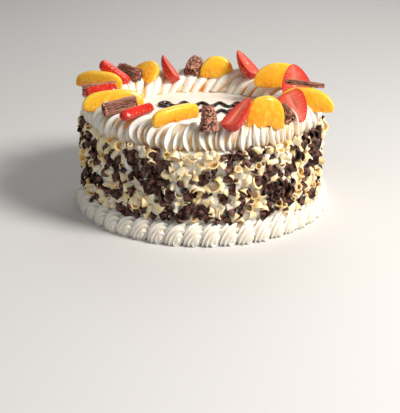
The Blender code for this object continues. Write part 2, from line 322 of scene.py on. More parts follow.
# Rope border: 44 C-shaped coils of the same cream, piped one over the next round the top edge
# with a star nozzle. Each coil runs from the flat top over the crest and down to the side.
ROPE_RADIUS = 0.0885
ROPE_HALF_WIDTH = 0.0190
ROPE_RISE = 0.0205
ROPE_SPRING = 0.0028
ROPE_LEAN = 0.0040
ROPE_FOOT = 0.0004
ROPE_SEAT = 0.080
ROPE_UNDERSIDE = 0.078
ROPE_COILS = 44
ROPE_INNER_SWEEP = math.radians(14.0)
ROPE_OUTER_SWEEP = math.radians(-4.2)
ROPE_SEED = 5
COIL_OVERLAP = 1.30
COIL_RIDGES = ((-1.00, 1.10, 1.00), (-0.20, 0.85, 0.93), (0.42, 0.58, 0.87))
COIL_VALLEY = 0.68
COIL_INNER = (1.75, 0.60)
COIL_TOP_END = math.pi * 1.02
COIL_LOW_END = -0.17
COIL_CREST = 0.15
COIL_SCOOP = 1.9
COIL_WAVE = 0.86
COIL_SLANT = 0.014
COIL_SWAY = 0.012
COIL_UNEVEN = 0.012
COIL_TOP_PINCH = 0.35
COIL_LOW_PINCH = 0.30
COIL_STATIONS = 36
COIL_ACROSS = 38
COILS = ((0.0, 1.0), (1.3, 0.97), (2.9, 0.99), (4.4, 0.955))
CORE_SHARE = 0.71
CORE_SIDES = 28
CORE_ROUND = 120
RING_STRAY = 0.013
RING_SCALES = ((0.990, 0.990, 0.955), (1.0, 1.0, 1.0))


def tree_for(name, inputs):
    """An empty Geometry Nodes tree, the sockets of its named inputs, and its end node."""
    tree = bpy.data.node_groups.new(name, "GeometryNodeTree")
    tree.interface.new_socket("Geometry", in_out="INPUT", socket_type="NodeSocketGeometry")
    for label, kind in inputs:
        tree.interface.new_socket(label, in_out="INPUT", socket_type="NodeSocket" + kind)
    tree.interface.new_socket("Geometry", in_out="OUTPUT", socket_type="NodeSocketGeometry")
    return tree, tree.nodes.new("NodeGroupInput").outputs, tree.nodes.new("NodeGroupOutput")


def random_value(tree, kind, limits, seed, offset):
    """A seeded draw for each point; the offset keeps one draw apart from the next."""
    low, high, drawn = (0, 1, 0) if kind == "FLOAT_VECTOR" else (2, 3, 1)
    own_seed = added(tree, "FunctionNodeIntegerMath", {0: seed, 1: offset}).outputs[0]
    inputs = {low: limits[0], high: limits[1], "Seed": own_seed}
    return added(tree, "FunctionNodeRandomValue", inputs, data_type=kind).outputs[drawn]


def closing(tree, instances, finish, output):
    """Every tree ends here: real meshes, in their own finish."""
    real = added(tree, "GeometryNodeRealizeInstances", {0: instances})
    paint = added(tree, "GeometryNodeSetMaterial", {"Geometry": real.outputs[0], "Material": finish})
    tree.links.new(paint.outputs[0], output.inputs[0])


def grown(start, tree, values, name):
    """The plain mesh that a tree makes of a starting mesh; a list holds the pieces it picks from."""
    guide = bpy.data.objects.new("guide", start)
    scene.collection.objects.link(guide)
    modifier = guide.modifiers.new(tree.name, "NODES")
    modifier.node_group = tree
    store = bpy.data.collections.new(name)
    for socket in tree.interface.items_tree:
        if socket.in_out == "INPUT" and socket.name in values:
            value = values[socket.name]
            if isinstance(value, list):
                for i, piece in enumerate(value):
                    store.objects.link(bpy.data.objects.new(f"{name}_{i}", piece))
                value = store
            modifier[socket.identifier] = value
    guide.update_tag()
    made = guide.evaluated_get(bpy.context.evaluated_depsgraph_get())
    mesh = bpy.data.meshes.new_from_object(made)
    mesh.name = name
    guide.modifiers.remove(modifier)
    for helper in (guide, *store.objects):
        bpy.data.objects.remove(helper)
    bpy.data.collections.remove(store)
    return mesh


ring_tree, ring_in, ring_out = tree_for("Piped round a ring", (
    ("Strokes", "Collection"), ("Count", "Int"), ("Seed", "Int"), ("Cream", "Material")))
ring_points = added(ring_tree, "GeometryNodeMeshLine", {
    "Offset": (0.0, 0.0, 0.0), "Count": ring_in["Count"]})
ring_strokes = added(ring_tree, "GeometryNodeCollectionInfo", {
    "Collection": ring_in["Strokes"], "Separate Children": True})
ring_index = added(ring_tree, "GeometryNodeInputIndex")
ring_share = math_node(ring_tree, "DIVIDE", ring_index.outputs[0], ring_in["Count"])
ring_stray = random_value(ring_tree, "FLOAT", (-RING_STRAY, RING_STRAY), ring_in["Seed"], 1)
ring_turn = math_node(ring_tree, "MULTIPLY_ADD", ring_share, 2 * math.pi, ring_stray)
ring_spin = added(ring_tree, "ShaderNodeCombineXYZ", {"Z": ring_turn})
ring_scale = random_value(ring_tree, "FLOAT_VECTOR", RING_SCALES, ring_in["Seed"], 2)
ring_set = added(ring_tree, "GeometryNodeInstanceOnPoints", {
    "Points": ring_points.outputs[0], "Instance": ring_strokes.outputs[0], "Pick Instance": True,
    "Rotation": ring_spin.outputs[0], "Scale": ring_scale})
closing(ring_tree, ring_set.outputs[0], ring_in["Cream"], ring_out)


def rope_sweep(theta):
    """How far a coil runs round the ring from its crest, inward and outward."""
    inward = ROPE_INNER_SWEEP * (theta - math.pi / 2) / (math.pi / 2)
    outward = ROPE_OUTER_SWEEP * np.sin((math.pi / 2 - theta) * 1.35)
    return np.where(theta > math.pi / 2, inward, outward)


def inner_part(theta):
    """Rises from 0 to 1 where a coil comes over its crest to its inner half."""
    start, blend = COIL_INNER
    return np.clip((theta - start) / blend, 0, 1)


def near(theta, place, reach):
    """A soft peak about one place along a coil."""
    return np.exp(-((theta - place) / reach) ** 2)


def coil_height(across, theta):
    """Ridges side by side on a coil's outer half, each with a scoop beside it; one wave on its inner."""
    ridged = COIL_VALLEY + 0 * across * theta
    for start, width, top in COIL_RIDGES:
        step = np.clip((across - start) / width, 0, 1)
        rise = np.sin(math.pi / 2 * np.clip(step / COIL_CREST, 0, 1))
        fall = (1.0 - np.clip((step - COIL_CREST) / (1.0 - COIL_CREST), 0, 1)) ** COIL_SCOOP
        ridged = np.maximum(ridged, COIL_VALLEY + (top - COIL_VALLEY) * np.minimum(rise, fall))
    wave = COIL_WAVE + (1.0 - COIL_WAVE) * np.cos(across * math.pi / 2 * 1.15)
    inner = inner_part(theta)
    return ridged * (1.0 - inner) + wave * inner


def coil_mesh(wobble, girth):
    """One coil at ring angle 0, from its foot on the flat top to its foot at the side."""
    theta = np.linspace(COIL_TOP_END, COIL_LOW_END, COIL_STATIONS)[:, None]
    across = np.linspace(-1.0, 1.0, COIL_ACROSS)[None, :]
    pinch = 1.0 - COIL_TOP_PINCH * near(theta, math.pi, 0.5)
    pinch = pinch - COIL_LOW_PINCH * near(theta, COIL_LOW_END, 0.35)
    inner = inner_part(theta)
    bend = COIL_SWAY * np.sin(2.2 * theta + wobble) + COIL_SLANT * inner * np.sin(2.6 * theta + 2 * wobble)
    around = rope_sweep(theta) + bend + across * pinch * COIL_OVERLAP * math.pi / ROPE_COILS
    ends = near(theta, math.pi, 0.22) + 1.3 * near(theta, COIL_LOW_END, 0.20)
    uneven = COIL_UNEVEN * np.sin(5 * theta + 3 * wobble + 4 * across)
    share = (coil_height(across, theta) + uneven) * girth * (1.0 - 0.08 * ends)
    r = ROPE_RADIUS + share * ROPE_HALF_WIDTH * np.cos(theta) + ROPE_LEAN * np.sin(theta)
    z = ROPE_SEAT + ROPE_SPRING * share + share * ROPE_RISE * np.sin(theta)
    z = np.where(r < COAT_RADIUS, np.maximum(z, ROPE_SEAT - ROPE_FOOT), z)
    outer = np.stack([r * np.cos(around), r * np.sin(around), z], -1)
    low = CORE_SHARE - 0.10
    under = []
    for column in (-1, 0):
        r_under = ROPE_RADIUS + low * ROPE_HALF_WIDTH * np.cos(theta[:, 0])
        z_under = np.maximum(ROPE_SEAT + low * ROPE_RISE * np.sin(theta[:, 0]), ROPE_UNDERSIDE)
        way = around[:, column]
        under.append(np.stack([r_under * np.cos(way), r_under * np.sin(way), z_under], -1))
    mesh = grid_mesh("coil", np.concatenate([outer, np.stack(under, 1)], axis=1), round_second=True)
    # The fold attribute here is painted shade: warm in the valleys beside each ridge, more so at the coil's
    # low end, along the sides of its inner half and all over its underside.
    low_end = 0.9 * near(theta, COIL_LOW_END + 0.12, 0.40)
    valley = np.clip((0.90 - coil_height(across, theta)) / (0.90 - COIL_VALLEY), 0, 1)
    depth = valley ** 1.2 * (0.75 + low_end)
    depth = depth * (1.0 - inner) + inner * np.clip((np.abs(across) - 0.50) / 0.35, 0, 1)
    set_attribute(mesh, "fold", np.concatenate([depth, np.ones((COIL_STATIONS, 2))], 1).ravel())
    return closed_up(mesh)


def rope_core():
    """The cream under the coils, where their feet meet."""
    theta = full_turn(CORE_SIDES)[:, None]
    around = full_turn(CORE_ROUND)[None, :]
    r = ROPE_RADIUS + CORE_SHARE * ROPE_HALF_WIDTH * np.cos(theta) + ROPE_LEAN * np.sin(theta)
    z = ROPE_SEAT + ROPE_SPRING + CORE_SHARE * ROPE_RISE * np.sin(theta)
    z = np.maximum(z, ROPE_SEAT - ROPE_FOOT)
    ring = np.stack([r * np.cos(around), r * np.sin(around), z * np.ones_like(around)], -1)
    mesh = grid_mesh("rope_core", ring, round_first=True, round_second=True)
    # The fold attribute here is painted shade: the core under the coils is warm all over.
    set_attribute(mesh, "fold", np.ones(len(mesh.vertices)))
    return closed_up(mesh)


def piped_ring(name, strokes, count, seed):
    """A border of the given strokes of cream, laid one after the other round the ring."""
    values = {"Strokes": strokes, "Count": count, "Seed": seed, "Cream": cream}
    return grown(bpy.data.meshes.new("start"), ring_tree, values, name)


def joined(meshes, name):
    """Several meshes as one; the first is the one whose attributes stay."""
    edit = bmesh.new()
    for mesh in meshes:
        edit.from_mesh(mesh)
    result = bpy.data.meshes.new(name)
    edit.to_mesh(result)
    edit.free()
    return result


rope_strokes = piped_ring("rope_strokes", [coil_mesh(*coil) for coil in COILS], ROPE_COILS, ROPE_SEED)
rope = show(joined([rope_core(), rope_strokes], "rope_border"), "rope_border", cream)
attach(rope, "root")
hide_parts("top_border")


# Shell border: 46 shells of cream piped round the foot of the cake. Each is a fat turban whose
# ridges nest round a tail that points outward, down and on round the ring.
SHELLS = 46
SHELL_CENTRE = Vector((0.1064, 0.0, 0.0070))
SHELL_HALF_SIZES = Vector((0.0103, 0.0096, 0.0130))
SHELL_POLE = Vector((0.85, 0.52, -0.10)).normalized()
SHELL_RIDGE = math.radians(24.0)
SHELL_RELIEF = 0.27
SHELL_FULLNESS = 2.5
SHELL_LEAN = 0.22
SHELL_VALLEY = 0.85
SHELL_END = math.radians(148)
SHELL_FOOT = 0.0002
SHELL_KINDS = ((0.20, 1.0), (0.34, 0.98), (0.10, 1.02))
SHELL_SEED = 11
SHELL_STATIONS = 60
SHELL_ROUND = 30


def shell_mesh(twist, girth):
    """One shell at ring angle 0, standing flat on its foot."""
    alpha = np.linspace(0.02, SHELL_END, SHELL_STATIONS)[:, None]
    beta = full_turn(SHELL_ROUND)[None, :]
    side = SHELL_POLE.cross(Vector((0.0, 0.0, 1.0))).normalized()
    pole, first, second = (np.array(axis) for axis in (SHELL_POLE, side, side.cross(SHELL_POLE)))
    round_pole = np.cos(beta)[..., None] * first + np.sin(beta)[..., None] * second
    ways = np.cos(alpha)[..., None] * pole + np.sin(alpha)[..., None] * round_pole
    phase = alpha / SHELL_RIDGE + twist * np.sin(beta + twist)
    valleys = np.abs(np.sin(math.pi * phase)) ** SHELL_VALLEY
    swell = 1.0 - SHELL_RELIEF * valleys * np.clip(alpha / 0.5, 0, 1)
    full = (np.abs(ways) ** SHELL_FULLNESS).sum(-1) ** (-1.0 / SHELL_FULLNESS)
    points = np.array(SHELL_CENTRE) + ways * np.array(SHELL_HALF_SIZES) * (full * swell * girth)[..., None]
    points[..., 1] += SHELL_LEAN * (points[..., 2] - SHELL_CENTRE.z)
    points[..., 2] = np.maximum(points[..., 2], SHELL_FOOT)
    mesh = grid_mesh("shell", points, round_second=True)
    # The fold attribute here is painted shade, warm in the deepest valleys between the ridges.
    set_attribute(mesh, "fold", np.clip(valleys * 0.9 - 0.62, 0, 1).ravel())
    return closed_up(mesh)


shells = [shell_mesh(*shell) for shell in SHELL_KINDS]
shell_border = show(piped_ring("shell_border", shells, SHELLS, SHELL_SEED), "shell_border")
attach(shell_border, "root")
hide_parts("base_border")


# Chocolate curls: dark and white shavings scraped off a block, which roll up as they come off.
# They are pressed by hand into the soft cream of the side, from the shells up to the rope.
CURL_FLOOR = 0.0188
CURL_CEILING = 0.0790
CURL_WALL = 0.1068
CURL_GAP = 0.0040
CURL_DENSITY = 110000.0
CURL_SIDES = 10
CURL_SINK = 0.48
CURL_SEED = 21
CURL_SIDE_OF_PATCH = {"dark": 1.0, "white": -1.0}
CURL_PATCH_SCALE = 66.0
CURL_PATCH_PLACE = (0.0, 0.0, 0.37)
CURL_BALANCE = -0.508
CURL_STRAYS = 0.12
CURLS_MISSING = 0.03
CURL_SCALES = (0.60, 1.04)
CURL_TUMBLE = ((-1.05, -1.05, 0.0), (1.05, 1.05, 6.28))
CURL_BAND_SIDES = 120
CURL_SHAPES = {
    "dark": (
        (1.10, 0.0040, 0.0085, 0.0010, 0.25, 0.25, 0.10),
        (0.60, 0.0050, 0.0085, 0.0014, 0.20, 0.30, 0.60),
        (0.50, 0.0056, 0.0080, 0.0015, -0.25, 0.25, 0.50),
        (0.72, 0.0044, 0.0080, 0.0012, 0.40, 0.45, 0.45),
        (0.95, 0.0036, 0.0100, 0.0010, 0.30, 0.15, 0.15),
        (0.58, 0.0048, 0.0070, 0.0015, 0.10, -0.25, 0.70),
    ),
    "white": (
        (1.15, 0.0036, 0.0095, 0.0012, 0.35, 0.80, 0.15),
        (1.25, 0.0033, 0.0085, 0.0011, -0.30, 1.00, 0.10),
        (1.00, 0.0038, 0.0105, 0.0012, 0.20, 0.30, 0.15),
        (0.72, 0.0044, 0.0085, 0.0014, 0.30, 0.60, 0.40),
        (0.85, 0.0040, 0.0090, 0.0013, -0.45, 0.90, 0.20),
        (0.58, 0.0050, 0.0080, 0.0015, 0.15, 0.50, 0.50),
    ),
}
CURL_SHARP = math.radians(50)
DARK_CHOCOLATE = (0.022, 0.0065, 0.003)
DARK_BLOOM = (0.190, 0.085, 0.066)
DARK_ROUGHNESS = 0.50
DARK_SHINE = 0.22
DARK_PATCHES = (230.0, 5.0, 0.44, 0.60)
DARK_GRAIN = (600.0, 4.0, 0.45, 0.0005)
WHITE_CHOCOLATE = (0.97, 0.86, 0.67)
# Deep golden: random warm tone, and painted shade on the inner face of each roll.
WHITE_TONE_AND_SHADE = (0.93, 0.54, 0.115)
WHITE_ROUGHNESS = 0.45
WHITE_GLOW = (0.50, (1.0, 0.7, 0.3), 0.003)
WHITE_PATCHES = (120.0, 3.0, 0.36, 0.66, 0.0, 0.72)
WHITE_SHADE_INSIDE = (0.0, 1.0, 0.0, 0.80)
WHITE_GRAIN = (700.0, 3.0, 0.25, 0.0003)


def curl_mesh(turns, radius, length, thickness, skew, flare, taper):
    """A strip of chocolate rolled about x, with slanted ends, wider to +x and narrower to its tip."""
    start = -math.pi * turns + math.pi / 2
    rings = []
    inside = []
    for share in (-0.5, 0.0, 0.5):
        ring = []
        for layer in (0.0, 1.0):
            for side in range(CURL_SIDES):
                step = side / (CURL_SIDES - 1)
                step = step if layer == 0.0 else 1.0 - step
                angle = start + 2 * math.pi * turns * step
                coil = radius * (1.0 - 0.34 * step * max(0.0, turns - 0.5)) * (1.0 + flare * share)
                reach = coil - layer * thickness
                wide = length * (1.0 - taper * abs(2 * step - 1) ** 3.2)
                x = wide * share + skew * share * radius * math.cos(angle)
                ring.append((x, reach * math.cos(angle), reach * math.sin(angle) - radius * CURL_SINK))
                inside.append(layer)
        rings.append(ring)
    mesh = grid_mesh("curl", np.array(rings), round_second=True)
    # The attribute inside is 1 on the inner face of the roll, where the finishes paint shade.
    set_attribute(mesh, "inside", inside)
    edit = bmesh.new()
    edit.from_mesh(mesh)
    edit.verts.ensure_lookup_table()
    count = 2 * CURL_SIDES
    for first in (0, 2 * count):
        for side in range(CURL_SIDES - 1):
            corners = (side, side + 1, count - 2 - side, count - 1 - side)
            edit.faces.new([edit.verts[first + corner] for corner in corners])
    bmesh.ops.recalc_face_normals(edit, faces=edit.faces)
    edit.to_mesh(mesh)
    edit.free()
    mesh.shade_smooth()
    mesh.set_sharp_from_angle(angle=CURL_SHARP)
    return mesh


def curl_band():
    """The side of the coat that curls are pressed into."""
    around = full_turn(CURL_BAND_SIDES)
    levels = (CURL_FLOOR, CURL_CEILING)
    points = [[(CURL_WALL * math.cos(a), CURL_WALL * math.sin(a), z) for a in around] for z in levels]
    return grid_mesh("curl_band", np.array(points), round_second=True)


curl_tree, curl_in, curl_out = tree_for("Curls pressed on", (
    ("Curls", "Collection"), ("Gap", "Float"), ("Density", "Float"), ("Side of Patch", "Float"),
    ("Seed", "Int"), ("Chocolate", "Material")))
curl_seed = curl_in["Seed"]
curl_points = added(curl_tree, "GeometryNodeDistributePointsOnFaces", {
    "Mesh": curl_in["Geometry"], "Distance Min": curl_in["Gap"],
    "Density Max": curl_in["Density"], "Seed": curl_seed}, distribute_method="POISSON")
curl_spot = added(curl_tree, "GeometryNodeInputPosition")
curl_moved = added(curl_tree, "ShaderNodeVectorMath", {0: curl_spot.outputs[0], 1: CURL_PATCH_PLACE})
curl_patches = added(curl_tree, "ShaderNodeTexNoise", {
    "Vector": curl_moved.outputs[0], "Scale": CURL_PATCH_SCALE})
curl_stray = random_value(
    curl_tree, "FLOAT", (CURL_BALANCE - CURL_STRAYS, CURL_BALANCE + CURL_STRAYS), curl_seed, 3)
curl_shift = math_node(curl_tree, "ADD", curl_patches.outputs[0], curl_stray)
curl_mine = math_node(curl_tree, "MULTIPLY", curl_shift, curl_in["Side of Patch"])
curl_here = random_value(curl_tree, "FLOAT", (-CURLS_MISSING, 1.0 - CURLS_MISSING), curl_seed, 4)
curl_both = math_node(curl_tree, "MINIMUM", curl_mine, curl_here)
curl_chosen = math_node(curl_tree, "GREATER_THAN", curl_both, 0.0)
curl_kinds = added(curl_tree, "GeometryNodeCollectionInfo", {
    "Collection": curl_in["Curls"], "Separate Children": True})
curl_turn = random_value(curl_tree, "FLOAT_VECTOR", CURL_TUMBLE, curl_seed, 1)
curl_lie = added(curl_tree, "FunctionNodeRotateRotation", {
    0: curl_points.outputs["Rotation"], 1: curl_turn}, rotation_space="LOCAL")
curl_set = added(curl_tree, "GeometryNodeInstanceOnPoints", {
    "Points": curl_points.outputs["Points"], "Selection": curl_chosen, "Instance": curl_kinds.outputs[0],
    "Pick Instance": True, "Rotation": curl_lie.outputs[0],
    "Scale": random_value(curl_tree, "FLOAT", CURL_SCALES, curl_seed, 2)})
closing(curl_tree, curl_set.outputs[0], curl_in["Chocolate"], curl_out)

dark_chocolate, dark_tree, dark_shader = plain_finish("dark_chocolate", DARK_CHOCOLATE, DARK_ROUGHNESS)
dark_shader.inputs["Specular IOR Level"].default_value = DARK_SHINE
dark_outside = mixed_colour(dark_tree, patches(dark_tree, *DARK_PATCHES), DARK_CHOCOLATE, DARK_BLOOM)
# Painted shade: the inner face of each roll is the plain darkest chocolate, without bloom.
dark_with_inner_shade = mixed_colour(dark_tree, attribute(dark_tree, "inside"), dark_outside, DARK_CHOCOLATE)
colour_in(dark_tree, dark_shader, dark_with_inner_shade)
grain(dark_tree, dark_shader, *DARK_GRAIN)
white_chocolate, white_tree, white_shader = plain_finish("white_chocolate", WHITE_CHOCOLATE, WHITE_ROUGHNESS)
lets_light_in(white_shader, *WHITE_GLOW)
# Painted shade: the inner face of each roll turns deep golden.
white_inner_shade = ranged(white_tree, attribute(white_tree, "inside"), *WHITE_SHADE_INSIDE)
white_tone_and_shade = math_node(white_tree, "MAXIMUM", patches(white_tree, *WHITE_PATCHES), white_inner_shade)
colour_in(white_tree, white_shader, mixed_colour(white_tree, white_tone_and_shade, WHITE_CHOCOLATE, WHITE_TONE_AND_SHADE))
grain(white_tree, white_shader, *WHITE_GRAIN)
for kind, chocolate in (("dark", dark_chocolate), ("white", white_chocolate)):
    curls_mesh = grown(curl_band(), curl_tree, {
        "Curls": [curl_mesh(*shape) for shape in CURL_SHAPES[kind]], "Gap": CURL_GAP,
        "Density": CURL_DENSITY, "Side of Patch": CURL_SIDE_OF_PATCH[kind], "Seed": CURL_SEED,
        "Chocolate": chocolate}, f"{kind}_curls")
    curls = show(curls_mesh, f"{kind}_curls")
    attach(curls, "root")
    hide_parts("cake")


# Scroll: two waved strands of melted dark chocolate, piped on the flat top through a plain
# round nozzle. Each ends in a volute, and is a little thick and thin along its length.
SCROLL_THICKNESS = 0.0036
SCROLL_LIFT = 0.0009
SCROLL_STRANDS = ((0.033, 0.026, 4), (0.027, 0.002, 3))
SCROLL_WAVE = 0.0060
SCROLL_STEPS = 14
VOLUTE_RADIUS = 0.0075
VOLUTE_TURN = math.radians(300)
VOLUTE_STEPS = 26
SCROLL_SIDES = 14
SCROLL_SWELL = 130.0
SCROLL_GIRTHS = (0.3, 0.7, 0.80, 1.22)
SCROLL_COLOUR = (0.022, 0.012, 0.010)
SCROLL_ROUGHNESS = 0.16


def scroll_path(half_length, offset, waves):
    """A wave along x that ends in a volute at each side, the same left and right."""
    half = []
    steps = waves * SCROLL_STEPS
    for step in range(steps + 1):
        along = step / steps
        half.append((half_length * along, offset + SCROLL_WAVE * math.cos(math.pi * waves * along)))
    end_x, end_y = half[-1]
    side = 1.0 if end_y > offset else -1.0
    for step in range(1, VOLUTE_STEPS + 1):
        angle = VOLUTE_TURN * step / VOLUTE_STEPS
        radius = VOLUTE_RADIUS * (1.0 - 0.6 * step / VOLUTE_STEPS)
        x = end_x + radius * math.sin(angle)
        half.append((x, end_y - side * (VOLUTE_RADIUS - radius * math.cos(angle))))
    return [(-x, y) for x, y in reversed(half[1:])] + half


strand_tree, strand_in, strand_out = tree_for("Piped strand", (
    ("Thickness", "Float"), ("Sides", "Int"), ("Chocolate", "Material")))
strand_curve = added(strand_tree, "GeometryNodeMeshToCurve", {0: strand_in["Geometry"]})
strand_noise = added(strand_tree, "ShaderNodeTexNoise", {"Scale": SCROLL_SWELL})
strand_swell = ranged(strand_tree, strand_noise.outputs[0], *SCROLL_GIRTHS)
strand_half = math_node(strand_tree, "MULTIPLY", strand_in["Thickness"], 0.5)
strand_radius = math_node(strand_tree, "MULTIPLY", strand_swell, strand_half)
strand_size = added(strand_tree, "GeometryNodeSetCurveRadius", {
    "Curve": strand_curve.outputs[0], "Radius": strand_radius})
strand_round = added(strand_tree, "GeometryNodeCurvePrimitiveCircle", {
    "Radius": 1.0, "Resolution": strand_in["Sides"]})
strand_scale = added(strand_tree, "GeometryNodeInputRadius")
strand_skin = added(strand_tree, "GeometryNodeCurveToMesh", {
    "Curve": strand_size.outputs[0], "Profile Curve": strand_round.outputs[0], "Fill Caps": True,
    "Scale": strand_scale.outputs[0]})
closing(strand_tree, strand_skin.outputs[0], strand_in["Chocolate"], strand_out)

scroll_finish = plain_finish("piped_chocolate", SCROLL_COLOUR, SCROLL_ROUGHNESS)[0]
scroll_lines = []
scroll_edges = []
for half_length, offset, waves in SCROLL_STRANDS:
    first = len(scroll_lines)
    scroll_lines += [(x, y, COAT_HEIGHT + SCROLL_LIFT) for x, y in scroll_path(half_length, offset, waves)]
    scroll_edges += [(i, i + 1) for i in range(first, len(scroll_lines) - 1)]
scroll_guide = bpy.data.meshes.new("scroll_guide")
scroll_guide.from_pydata(scroll_lines, scroll_edges, [])
scroll_mesh = grown(scroll_guide, strand_tree, {
    "Thickness": SCROLL_THICKNESS, "Sides": SCROLL_SIDES, "Chocolate": scroll_finish}, "scroll")
scroll_mesh.shade_smooth()
scroll = show(scroll_mesh, "piped_scroll")
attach(scroll, "root")
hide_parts("cake")


# Strawberries: ripe berries cut in halves and wedges, with the leaves cut off. The skin is
# glossy, with seeds in pits, pale partly in their own colour and partly as painted highlight;
# the cut face is paler to its core, with pale lines.
MM = 0.001
STRAWBERRIES = (
    ((37, 9, 7), (-125, 94, 103), (174, 0, 47)),
    ((34, 22, 12), (-73, 99, 111), (122, 32, 172)),
    ((32, 27, 10), (-37, 97, 104), (-24, -37, -147)),
    ((33, 31, 11), (2.5, 83, 110), (102, 52, 160)),
    ((33, 27, 12), (59, 83, 110), (69, 34, -159)),
    ((32, 21, 11), (112, 83, 104), (10, 31, -142)),
    ((33, 10, 8), (154, 90, 107), (-152, -36, 96)),
    ((30, 11, 8), (-172, 90, 102), (-168, 7, 52)),
)
SLICED_BERRIES = (1, 7, 8)
SLICE_BLUNTNESS = 0.92
SLICE_ENDS = 8
SLICE_FLATNESS = 0.38
HOLLOW_BERRIES = (5,)
HOLLOW_DEPTH = 0.0034
BERRY_FIT = 0.98
BERRY_STATIONS = 72
BERRY_ROUND = 44
BERRY_ACROSS = 36
SEED_STEP = 0.0040
SEED_PIT = 0.00030
SEED_SIZE = (0.00050, 0.00030, 0.00022)
BERRY_WIDEST = 0.718
BERRY_SHARP = math.radians(55)
BERRY_ROUGHNESS = 0.22
BERRY_GLOW = (0.20, (1.0, 0.25, 0.12), 0.0025)
BERRY_PATCHES = (90.0, 3.0, 0.35, 0.7)
BERRY_GRAIN = (500.0, 3.0, 0.25, 0.0003)
FLESH_EDGE = (0.01, 0.09)
FLESH_RED = (0.10, 0.55)
FLESH_CORE = (0.60, 0.95, 0.0, 0.85)
FLESH_LINES = 26.0
LINE_WIDTH = (0.46, 0.66)
LINES_FROM_RIM = (0.04, 0.30)
LINES_FROM_CORE = (0.10, 0.35)
LINE_STRENGTH = 0.55
SEED_ROUGHNESS = 0.40
BERRY_SKIN = (0.72, 0.034, 0.016)
BERRY_SKIN_DEEP = (0.50, 0.013, 0.007)
BERRY_RED = (0.72, 0.030, 0.015)
BERRY_FLESH = (0.80, 0.090, 0.045)
BERRY_PALE = (0.86, 0.26, 0.17)
# Seed colour: pale partly as the seeds' own colour and partly as painted highlight.
SEED_AND_HIGHLIGHT_COLOUR = (0.86, 0.44, 0.16)


def berry_swell(along, bluntness):
    """Half width of a berry along its length, as a share of its widest."""
    whole = (1.0 - along) ** 0.62 * (along + 0.015) ** 0.22 / BERRY_WIDEST
    return whole * (1.0 - bluntness) + bluntness * (1.0 - abs(2.0 * along - 1.0) ** SLICE_ENDS) ** 0.5


def placed(row):
    """Where a topping lies: its size, ring place and turns, in mm and degrees."""
    size, (ring, radius, height), (turn, rise, lean) = row
    ring_angle = math.radians(ring)
    place = Vector((math.cos(ring_angle) * radius, math.sin(ring_angle) * radius, height)) * MM
    turned_way = Euler((math.radians(lean), math.radians(-rise), math.radians(ring + turn)), "XYZ")
    return Matrix.Translation(place) @ turned_way.to_matrix().to_4x4()


def berry_mesh(length, width, depth, number):
    """Half a berry with its flat cut face at z = 0 and its tip at +x, and where its seeds sit."""
    bluntness = SLICE_BLUNTNESS if number in SLICED_BERRIES else 0.0
    stations = 0.5 - 0.5 * np.cos(np.linspace(0.03, math.pi - 0.03, BERRY_STATIONS))[:, None]
    swell = berry_swell(stations, bluntness)
    x = BERRY_FIT * length * (stations - 0.5)
    around = np.linspace(0, math.pi, BERRY_ROUND)[None, :]
    lumpy = 0.985 + 0.015 * np.sin(3 * around + number) * np.sin(6 * stations + number)
    squared = SLICE_FLATNESS if number in SLICED_BERRIES else 1.0
    side = np.sign(np.cos(around)) * np.abs(np.cos(around)) ** squared
    rise = np.abs(np.sin(around)) ** squared
    skin = np.stack([x + 0 * around, width / 2 * swell * lumpy * side, depth * swell * lumpy * rise], -1)
    seeds = []
    rows = int(length / SEED_STEP)
    for row in range(1, rows):
        station = row / rows
        size = berry_swell(station, bluntness)
        girth = math.pi * (width / 2 + depth) / 2 * size
        count = max(2, int(girth / SEED_STEP))
        for k in range(count):
            angle = math.pi * (k + (0.5 if row % 2 else 0.95)) / (count + 0.45)
            seed_side = math.copysign(abs(math.cos(angle)) ** squared, math.cos(angle))
            seed_rise = depth * size * math.sin(angle) ** squared
            seeds.append((length * (station - 0.5), width / 2 * size * seed_side, seed_rise))
    seeds = np.array(seeds)
    nothing = 0 * x + 0 * around
    inward = np.stack([x + nothing, nothing, nothing], -1) - skin
    inward = inward / np.maximum(np.linalg.norm(inward, axis=-1, keepdims=True), 1e-6)
    away = np.linalg.norm(skin[:, :, None, :] - seeds[None, None, :, :], axis=-1).min(axis=2)
    pits = np.exp(-(away / (SEED_STEP * 0.27)) ** 2)
    edge_fade = np.clip(np.sin(around) / 0.12, 0, 1)
    skin = skin + inward * (pits * edge_fade * SEED_PIT)[..., None]
    across = np.linspace(-1, 1, BERRY_ACROSS)[1:-1][None, :]
    core = np.exp(-(across / 0.16) ** 2) * np.exp(-((stations - 0.36) / 0.24) ** 2)
    hollow = np.exp(-(across / 0.20) ** 4) * np.exp(-((stations - 0.30) / 0.17) ** 4)
    dome = depth * 0.09 * core + (HOLLOW_DEPTH * hollow if number in HOLLOW_BERRIES else 0.0)
    face = np.stack([x + 0 * across, width / 2 * swell * across, dome + 0 * across], -1)
    mesh = grid_mesh("berry", np.concatenate([skin, face], axis=1), round_second=True)
    rim = np.minimum(1 - np.abs(across) + 0 * x, 12 * stations + 0 * across)
    set_attribute(mesh, "flesh", np.concatenate([np.zeros_like(pits), rim], 1).ravel())
    sides = np.concatenate([np.cos(around) + 0 * x, across + 0 * x], 1)
    set_attribute(mesh, "across", sides.ravel())
    set_attribute(mesh, "along", (stations + 0 * sides).ravel())
    closed_up(mesh)
    mesh.set_sharp_from_angle(angle=BERRY_SHARP)
    return mesh, seeds[seeds[:, 2] > depth * 0.12]


